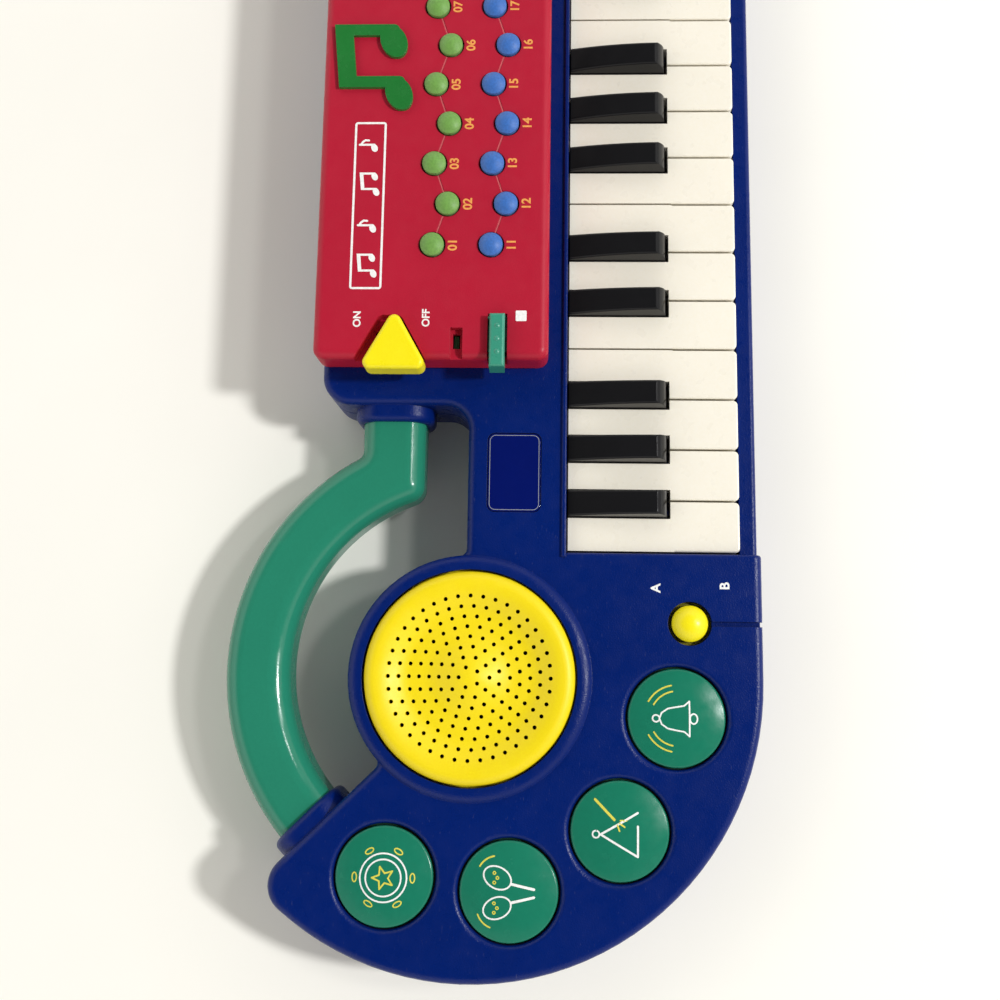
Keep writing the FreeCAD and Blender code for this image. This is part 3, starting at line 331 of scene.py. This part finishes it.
def rounded_rectangle(x0, x1, y0, y1, radius, steps=6):
    points = []
    for x, y, start in ((x1 - radius, y1 - radius, 0), (x0 + radius, y1 - radius, 90),
                        (x0 + radius, y0 + radius, 180), (x1 - radius, y0 + radius, 270)):
        points += arc(x, y, radius, start, start + 90, steps)
    return points


def placed(outlines, origin):
    return [[p + origin for p in outline] for outline in outlines]


# Solid marks and plates

def turns_left(outline):
    return sum(a.cross(b) for a, b in zip(outline, outline[1:] + outline[:1])) > 0


def merged(outlines):
    """One flat mesh, in millimetres, of everything that the outlines cover."""
    points = []
    faces = []
    for outline in outlines:
        outline = outline if turns_left(outline) else outline[::-1]
        faces.append(list(range(len(points), len(points) + len(outline))))
        points += outline
    verts, _, found, _, _, sources = delaunay_2d_cdt(points, [], faces, 0, 1e-5)
    mesh = bmesh.new()
    made = [mesh.verts.new((v.x, v.y, 0.0)) for v in verts]
    for face, source in zip(found, sources):
        if source:
            mesh.faces.new([made[i] for i in face])
    loose = [v for v in mesh.verts if not v.link_faces]
    bmesh.ops.delete(mesh, geom=loose, context="VERTS")
    bmesh.ops.recalc_face_normals(mesh, faces=mesh.faces)
    return mesh


def finish_piece(mesh, name, material, body):
    """Makes an object of a mesh in millimetres and lets it ride on a body."""
    bmesh.ops.scale(mesh, vec=(MM, MM, MM), verts=mesh.verts)
    data = bpy.data.meshes.new(name)
    mesh.to_mesh(data)
    mesh.free()
    data.materials.append(material)
    piece = bpy.data.objects.new(name, data)
    scene.collection.objects.link(piece)
    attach(piece, body)
    return piece


def divided(outline, step=0.8):
    """The same outline with points no further apart than the step."""
    points = []
    for a, b in zip(outline, outline[1:] + outline[:1]):
        count = max(1, math.ceil((b - a).length / step))
        points += [a.lerp(b, i / count) for i in range(count)]
    return points


def printed(name, outlines, level, material, body, lift=0.05, depth=0.1):
    """A thin layer of ink. level is a height, or a function of the place that gives it."""
    if callable(level):
        outlines = [divided(outline) for outline in outlines]
    mesh = merged(outlines)
    for vert in mesh.verts:
        height = level(vert.co.x, vert.co.y) if callable(level) else level
        vert.co.z = height + lift
    thick = bmesh.ops.extrude_face_region(mesh, geom=list(mesh.faces))
    lower = [g for g in thick["geom"] if isinstance(g, bmesh.types.BMVert)]
    bmesh.ops.translate(mesh, vec=(0, 0, -depth - lift), verts=lower)
    bmesh.ops.recalc_face_normals(mesh, faces=mesh.faces)
    return finish_piece(mesh, name, material, body)


def raised(name, outlines, low, high, round_by, material, body):
    """A plate with a rounded top edge."""
    mesh = merged(outlines)
    bmesh.ops.dissolve_limit(mesh, angle_limit=math.radians(1), verts=mesh.verts, edges=mesh.edges)
    for vert in mesh.verts:
        vert.co.z = low
    thick = bmesh.ops.extrude_face_region(mesh, geom=list(mesh.faces))
    upper = [g for g in thick["geom"] if isinstance(g, bmesh.types.BMVert)]
    bmesh.ops.translate(mesh, vec=(0, 0, high - low), verts=upper)
    bmesh.ops.recalc_face_normals(mesh, faces=mesh.faces)
    on_top = set(upper)
    rim = [e for e in mesh.edges if set(e.verts) <= on_top and len(e.link_faces) == 2
           and any(abs(f.normal.z) < 0.5 for f in e.link_faces)]
    bmesh.ops.bevel(mesh, geom=rim, offset=round_by, segments=3, profile=0.5, affect="EDGES",
                    clamp_overlap=True)
    return finish_piece(mesh, name, material, body)


# Extra weight of printed characters, as a share of their size, and half their thickness
LETTER_WEIGHT = 0.026
LETTER_DEPTH = 0.05


def lettered(name, words, level, material, body):
    """Printed characters: (text, centre, size) in millimetres, joined into one piece."""
    mesh = bmesh.new()
    for text, place, size in words:
        curve = bpy.data.curves.new(name, "FONT")
        curve.body = text
        curve.size = size
        curve.align_x = "CENTER"
        curve.align_y = "CENTER"
        curve.offset = size * LETTER_WEIGHT
        curve.extrude = LETTER_DEPTH
        writer = bpy.data.objects.new(name, curve)
        scene.collection.objects.link(writer)
        bpy.context.view_layer.update()
        letters = bpy.data.meshes.new_from_object(writer)
        letters.transform(Matrix.Translation((place.x, place.y, level)))
        mesh.from_mesh(letters)
        bpy.data.objects.remove(writer)
    return finish_piece(mesh, name, material, body)


# Marks on the control box, placed from the left end of the key fronts

SWITCH_WORDS = (("ON", (62.6, 106.3)), ("OFF", (63.0, 87.2)))
SWITCH_SIZE = 2.9
STOP_PLACE = (63.7, 61.0)
STOP_HALF = 1.5
STOP_ROUND = 0.3
NUMBER_SIZE = 3.5
NUMBER_OFFSET = 5.8
LINE_WIDTH = 0.42
LINE_INSET = 3.9
LINE_DROP = 0.2
FRAME_LOW = (71.5, 100.2)
FRAME_HIGH = (120.4, 108.6)
FRAME_PEN = 0.6
FRAME_ROUND = 0.5
FRAME_NOTE_FOOT = 2.1
FRAME_NOTE_START = 4.2
FRAME_NOTE_STEP = 12.0
FRAME_NOTE_RISES = (0.0, 0.6, 0.0, 0.9)
FRAME_PAIR = {"head": 1.2, "gap": 4.6, "height": 4.3, "stem": 0.6, "beam": 1.0}
FRAME_SINGLE = {"head": 1.25, "height": 4.5, "stem": 0.6, "flag": 1.9}
FRAME_SINGLE_SHIFT = 1.2
EMBLEM_PLACE = (122.8, 92.0)
EMBLEM_FOOT = 4.6
EMBLEM_STARTS = (6.2, 43.0, 66.0)
EMBLEM_PAIR = {"head": 5.2, "gap": 16.0, "height": 17.2, "stem": 3.4, "beam": 5.2}
EMBLEM_SINGLE = {"head": 5.4, "height": 17.4, "stem": 3.4, "flag": 7.0}
EMBLEM_SUNK = 0.2
EMBLEM_HEIGHT = 1.1
EMBLEM_ROUND = 0.35
HEAD_SHAPE = 0.72
HEAD_TILT = 24
BEAM_SLOPE = 0.12


def switch_marks():
    words = [(text, from_bed(*place), SWITCH_SIZE) for text, place in SWITCH_WORDS]
    lettered("switch_marks", words, PANEL_TOP, WHITE_INK, CASE)
    square = rounded_rectangle(-STOP_HALF, STOP_HALF, -STOP_HALF, STOP_HALF, STOP_ROUND)
    printed("stop_mark", placed([square], from_bed(*STOP_PLACE)), PANEL_TOP, WHITE_INK, CASE)


def button_numbers():
    for name, row, first in (("voice_numbers", VOICES, 1), ("rhythm_numbers", RHYTHMS, 11)):
        words = []
        for i, node in enumerate(row):
            spot = centre(node).to_2d() - Vector((0, NUMBER_OFFSET))
            words.append(("%02d" % (first + i), spot, NUMBER_SIZE))
        lettered(name, words, PANEL_TOP, ORANGE_INK, CASE)


def row_lines():
    """The paint in the engraved lines between the buttons."""
    for name, row in (("voice_line", VOICES), ("rhythm_line", RHYTHMS)):
        spots = [centre(node).to_2d() for node in row]
        runs = []
        for a, b in zip(spots, spots[1:]):
            inset = (b - a).normalized() * LINE_INSET
            runs += polyline([a + inset, b - inset], LINE_WIDTH)
        printed(name, runs, PANEL_TOP - LINE_DROP, PINK_INK, CASE)


def note_head(x, y, size):
    return ellipse(x, y, size, size * HEAD_SHAPE, HEAD_TILT)


def beamed_pair(x, y, head, gap, height, stem, beam):
    """Two notes joined by a beam, as overlapping outlines."""
    first = x + head - stem / 2
    second = first + gap
    rise = gap * BEAM_SLOPE
    top = y + height
    return [
        note_head(x, y, head),
        note_head(x + gap, y + rise, head),
        stroke([(first, y), (first, top - beam / 2)], stem),
        stroke([(second, y + rise), (second, top + rise - beam / 2)], stem),
        [Vector((first - stem / 2, top - beam)), Vector((second + stem / 2, top + rise - beam)),
         Vector((second + stem / 2, top + rise)), Vector((first - stem / 2, top))],
    ]


def single_note(x, y, head, height, stem, flag):
    right = x + head - stem / 2
    top = y + height
    tail = [Vector((right, top - flag * 0.35)), Vector((right + flag * 0.45, top - flag * 0.62)),
            Vector((right + flag * 0.72, top - flag)), Vector((right + flag * 0.68, top - flag * 1.5))]
    return [note_head(x, y, head), stroke([(right, y), (right, top - stem / 2)], stem), stroke(tail, stem)]


def title_frame():
    """A white frame with a row of notes."""
    low = from_bed(*FRAME_LOW)
    high = from_bed(*FRAME_HIGH)
    border = rounded_rectangle(low.x, high.x, low.y, high.y, FRAME_ROUND, 3)
    printed("title_frame", ring(border, FRAME_PEN), PANEL_TOP, WHITE_INK, CASE)
    notes = []
    foot = low.y + FRAME_NOTE_FOOT
    for i, rise in enumerate(FRAME_NOTE_RISES):
        x = low.x + FRAME_NOTE_START + FRAME_NOTE_STEP * i
        if i % 2 == 0:
            notes += beamed_pair(x, foot + rise, **FRAME_PAIR)
        else:
            notes += single_note(x + FRAME_SINGLE_SHIFT, foot + rise, **FRAME_SINGLE)
    printed("title_notes", notes, PANEL_TOP, WHITE_INK, CASE, lift=0.06)


def emblem():
    """Raised green notes in a row: a pair, a single and a pair."""
    base = from_bed(*EMBLEM_PLACE)
    for i, start in enumerate(EMBLEM_STARTS):
        if i % 2 == 0:
            note = beamed_pair(start, EMBLEM_FOOT, **EMBLEM_PAIR)
        else:
            note = single_note(start, EMBLEM_FOOT, **EMBLEM_SINGLE)
        name = "emblem_note_%d" % (i + 1)
        raised(name, placed(note, base), PANEL_TOP - EMBLEM_SUNK, PANEL_TOP + EMBLEM_HEIGHT, EMBLEM_ROUND,
               EMBLEM_GREEN, CASE)


# Marks on the blue case

PLATE_LOW = (10.6, 55.0)
PLATE_HIGH = (33.0, 70.1)
PLATE_INSET = 0.15
PLATE_CORNER = 2.0
PLATE_FOOT = 0.65
PLATE_FACE = 0.2
PLATE_ROUND = 0.15
BORDER_INSET = 0.7
BORDER_CORNER = 1.6
BORDER_PEN = 0.16
MODE_WORDS = (("A", (-9.9, 23.4)), ("B", (-9.1, 4.7)))
MODE_SIZE = 3.6


def name_plate():
    low = from_bed(*PLATE_LOW)
    high = from_bed(*PLATE_HIGH)
    outline = rounded_rectangle(low.x + PLATE_INSET, high.x - PLATE_INSET, low.y + PLATE_INSET,
                                high.y - PLATE_INSET, PLATE_CORNER)
    raised("name_plate", [outline], CASE_TOP - PLATE_FOOT, CASE_TOP - PLATE_FACE, PLATE_ROUND, PLATE_BLUE,
           CASE)
    # Partly painted highlight: a thin silver line just inside the plate's rim, a printed frame that also
    # stands in for the light along the rim
    border = rounded_rectangle(low.x + BORDER_INSET, high.x - BORDER_INSET, low.y + BORDER_INSET,
                               high.y - BORDER_INSET, BORDER_CORNER)
    printed("name_plate_frame_and_highlight", ring(border, BORDER_PEN), CASE_TOP - PLATE_FACE, SILVER_FRAME_AND_HIGHLIGHT_INK, CASE,
            lift=0.03)


def mode_marks():
    words = [(text, from_bed(*place), MODE_SIZE) for text, place in MODE_WORDS]
    lettered("mode_marks", words, CASE_TOP, WHITE_INK, CASE)


# Line drawings on the drum pads

PAD_RADIUS = 13.05
PAD_DOME = 2.0
PEN = 0.42


def pad_surface(node):
    """Height of a pad's domed top at a place."""
    middle = centre(node)
    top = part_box(node)[1].z / MM
    sphere = (PAD_RADIUS ** 2 + PAD_DOME ** 2) / (2 * PAD_DOME)

    def height(x, y):
        reach = (x - middle.x) ** 2 + (y - middle.y) ** 2
        return top - sphere + math.sqrt(sphere ** 2 - reach)

    return height


def bell_drawing():
    side = [Vector((-4.6, -3.2)), Vector((-3.4, -1.8)), Vector((-3.0, 0.6)), Vector((-2.6, 2.6)),
            Vector((-1.5, 4.2)), Vector((0.0, 4.8))]
    other = [Vector((-p.x, p.y)) for p in side]
    white = [stroke(side, PEN), stroke(other, PEN), stroke([(-4.6, -3.2), (4.6, -3.2)], PEN)]
    white += ring(ellipse(0, -4.3, 1.3, 1.0), PEN) + [stroke(arc(0, 5.7, 0.9, -60, 240), PEN)]
    yellow = []
    for radius in (7.2, 8.8):
        yellow += [stroke(arc(0, 0, radius, 10, 60, 10), PEN), stroke(arc(0, 0, radius, 120, 170, 10), PEN)]
    return white, yellow


def triangle_drawing():
    corners = [Vector((1.6, -4.6)), Vector((-6.2, -4.6)), Vector((-0.6, 5.2)), Vector((5.0, -4.6))]
    white = polyline(corners, PEN * 1.3) + [stroke(arc(-0.6, 6.4, 0.9, 0, 350), PEN)]
    yellow = [stroke([(3.2, 1.6), (8.2, 6.6)], PEN * 1.6)]
    for turn in (200, 235, 270):
        angle = math.radians(turn)
        ray = Vector((math.cos(angle), math.sin(angle)))
        yellow.append(stroke([Vector((3.0, 1.2)) + ray * 1.2, Vector((3.0, 1.2)) + ray * 2.8], PEN))
    return white, yellow


def maraca_drawing():
    white = []
    yellow = []
    for side in (-1, 1):
        white += ring(ellipse(side * 3.8, 3.0, 3.8, 2.7, 90 - side * 24), PEN)
        foot = Vector((side * 1.0, -6.6))
        neck = Vector((side * 2.35, -0.6))
        white += polyline([neck, foot], PEN * 1.6)
        for k in (-1, 0, 1):
            yellow += ring(ellipse(side * 3.8 + k * 1.2, 3.0 + 0.8 * (k % 2), 0.35, 0.35, 0, 10), 0.3)
        yellow += [stroke(arc(side * 3.8, 3.0, 5.4, 60 - side * 50, 110 - side * 50, 10), PEN)]
    return white, yellow


def tambourine_drawing():
    white = ring(ellipse(0, 0, 6.2, 6.2, 0, 40), PEN) + ring(ellipse(0, 0, 4.7, 4.7, 0, 40), PEN)
    yellow = []
    for i in range(6):
        turn = math.radians(30 + 60 * i)
        place = Vector((math.cos(turn), math.sin(turn))) * 7.7
        yellow += ring(ellipse(place.x, place.y, 1.2, 0.6, math.degrees(turn) + 90, 14), PEN * 0.8)
    star = []
    for i in range(11):
        reach = 3.0 if i % 2 == 0 else 1.3
        turn = math.radians(90 + 36 * i)
        star.append(Vector((math.cos(turn), math.sin(turn))) * reach)
    yellow += polyline(star, PEN)
    return white, yellow


def pad_drawings():
    makers = (bell_drawing, triangle_drawing, maraca_drawing, tambourine_drawing)
    for node, make in zip(PADS, makers):
        spot = centre(node).to_2d()
        surface = pad_surface(node)
        for tint, ink_used, lines in zip(("white", "yellow"), (WHITE_INK, YELLOW_INK), make()):
            printed("%s_%s" % (node, tint), placed(lines, spot), surface, ink_used, node)


# Studio

# Brightness of the room by height, from the horizon up, and how much more of it is behind the toy
ROOM_GLOW = ((0.0, 0.5), (0.3, 0.85), (0.5, 0.95), (0.62, 0.7), (0.78, 0.03))
ROOM_LEAN = 0.25
ROOM_STRENGTH = 1.4
ROOM_TINT = (1.0, 0.985, 0.95, 1.0)

# Floor: its colour to direct and to scattered light, its half side in metres and its drop in millimetres
FLOOR_SEEN = ((0.96, 0.94, 0.87), (0.99, 0.97, 0.9))
FLOOR_SCATTER = (0.85, 0.83, 0.77)
FLOOR_HALF = 3.0
FLOOR_DROP = 0.1

# Lamps: name, place in metres, diameter and power in watts
LAMPS = (
    ("key_light", (0.06, -1.9, 1.8), 0.24, 46.0),
    ("corner_light", (0.45, -1.3, 1.8), 0.24, 5.0),
)


def make_floor():
    material, tree, shader = new_material("floor")
    coords = object_coords(tree)
    patches = noise(tree, coords, 90.0, 3.0)
    seen = between(tree, remap(tree, patches, 0.0, 1.0), *FLOOR_SEEN)
    paths = tree.nodes.new("ShaderNodeLightPath").outputs
    direct = paths["Is Camera Ray"]
    for kind in ("Is Glossy Ray", "Is Transmission Ray"):
        either = tree.nodes.new("ShaderNodeMath")
        either.operation = "MAXIMUM"
        tree.links.new(direct, either.inputs[0])
        tree.links.new(paths[kind], either.inputs[1])
        direct = either.outputs["Value"]
    tree.links.new(between(tree, direct, FLOOR_SCATTER, seen), shader.inputs["Base Color"])
    shader.inputs["Roughness"].default_value = 0.6
    mesh = bmesh.new()
    bmesh.ops.create_grid(mesh, x_segments=1, y_segments=1, size=FLOOR_HALF)
    data = bpy.data.meshes.new("floor")
    mesh.to_mesh(data)
    mesh.free()
    data.materials.append(material)
    floor = bpy.data.objects.new("floor", data)
    floor.location.z = -FLOOR_DROP * MM
    scene.collection.objects.link(floor)


def make_light(name, place, size, power):
    data = bpy.data.lights.new(name, "AREA")
    data.shape = "DISK"
    data.size = size
    data.energy = power
    light = bpy.data.objects.new(name, data)
    light.location = place
    light.rotation_euler = (-Vector(place)).to_track_quat("-Z", "Y").to_euler()
    scene.collection.objects.link(light)


def make_world():
    """A white room with a dark ceiling, so that level faces keep their colour."""
    world = bpy.data.worlds.new("studio")
    scene.world = world
    world.use_nodes = True
    tree = world.node_tree
    split = tree.nodes.new("ShaderNodeSeparateXYZ")
    tree.links.new(tree.nodes.new("ShaderNodeTexCoord").outputs["Generated"], split.inputs["Vector"])
    ramp = tree.nodes.new("ShaderNodeValToRGB")
    tree.links.new(split.outputs["Z"], ramp.inputs["Fac"])
    stops = ramp.color_ramp.elements
    while len(stops) < len(ROOM_GLOW):
        stops.new(1.0)
    for stop, (height, glow) in zip(stops, ROOM_GLOW):
        stop.position = height
        stop.color = (glow, glow, glow, 1.0)
    lean = tree.nodes.new("ShaderNodeMath")
    lean.operation = "MULTIPLY_ADD"
    lean.inputs[1].default_value = ROOM_LEAN * ROOM_STRENGTH
    lean.inputs[2].default_value = ROOM_STRENGTH
    tree.links.new(split.outputs["Y"], lean.inputs[0])
    glow = tree.nodes.new("ShaderNodeMath")
    glow.operation = "MULTIPLY"
    tree.links.new(ramp.outputs["Color"], glow.inputs[0])
    tree.links.new(lean.outputs["Value"], glow.inputs[1])
    tree.links.new(glow.outputs["Value"], tree.nodes["Background"].inputs["Strength"])
    tree.nodes["Background"].inputs["Color"].default_value = ROOM_TINT


CAMERA_PLACE = Vector((-86.479, -13.173, 314.603)) * MM
CAMERA_RIGHT = Vector((0.01605, -0.99924, -0.03542))
CAMERA_UP = Vector((0.98904, 0.01067, 0.14724))
CAMERA_LENS = 37.8


def make_camera():
    data = bpy.data.cameras.new("camera")
    data.sensor_width = 36.0
    data.lens = CAMERA_LENS
    data.clip_start = 0.01
    data.clip_end = 20.0
    camera = bpy.data.objects.new("camera", data)
    back = CAMERA_RIGHT.cross(CAMERA_UP)
    turn = Matrix((CAMERA_RIGHT, CAMERA_UP, back)).transposed().to_4x4()
    camera.matrix_world = Matrix.Translation(CAMERA_PLACE) @ turn
    scene.collection.objects.link(camera)
    scene.camera = camera


dress_nodes()
switch_marks()
button_numbers()
row_lines()
title_frame()
emblem()
name_plate()
mode_marks()
pad_drawings()
make_floor()
make_world()
for lamp in LAMPS:
    make_light(*lamp)
make_camera()
scene.view_settings.view_transform = "Standard"
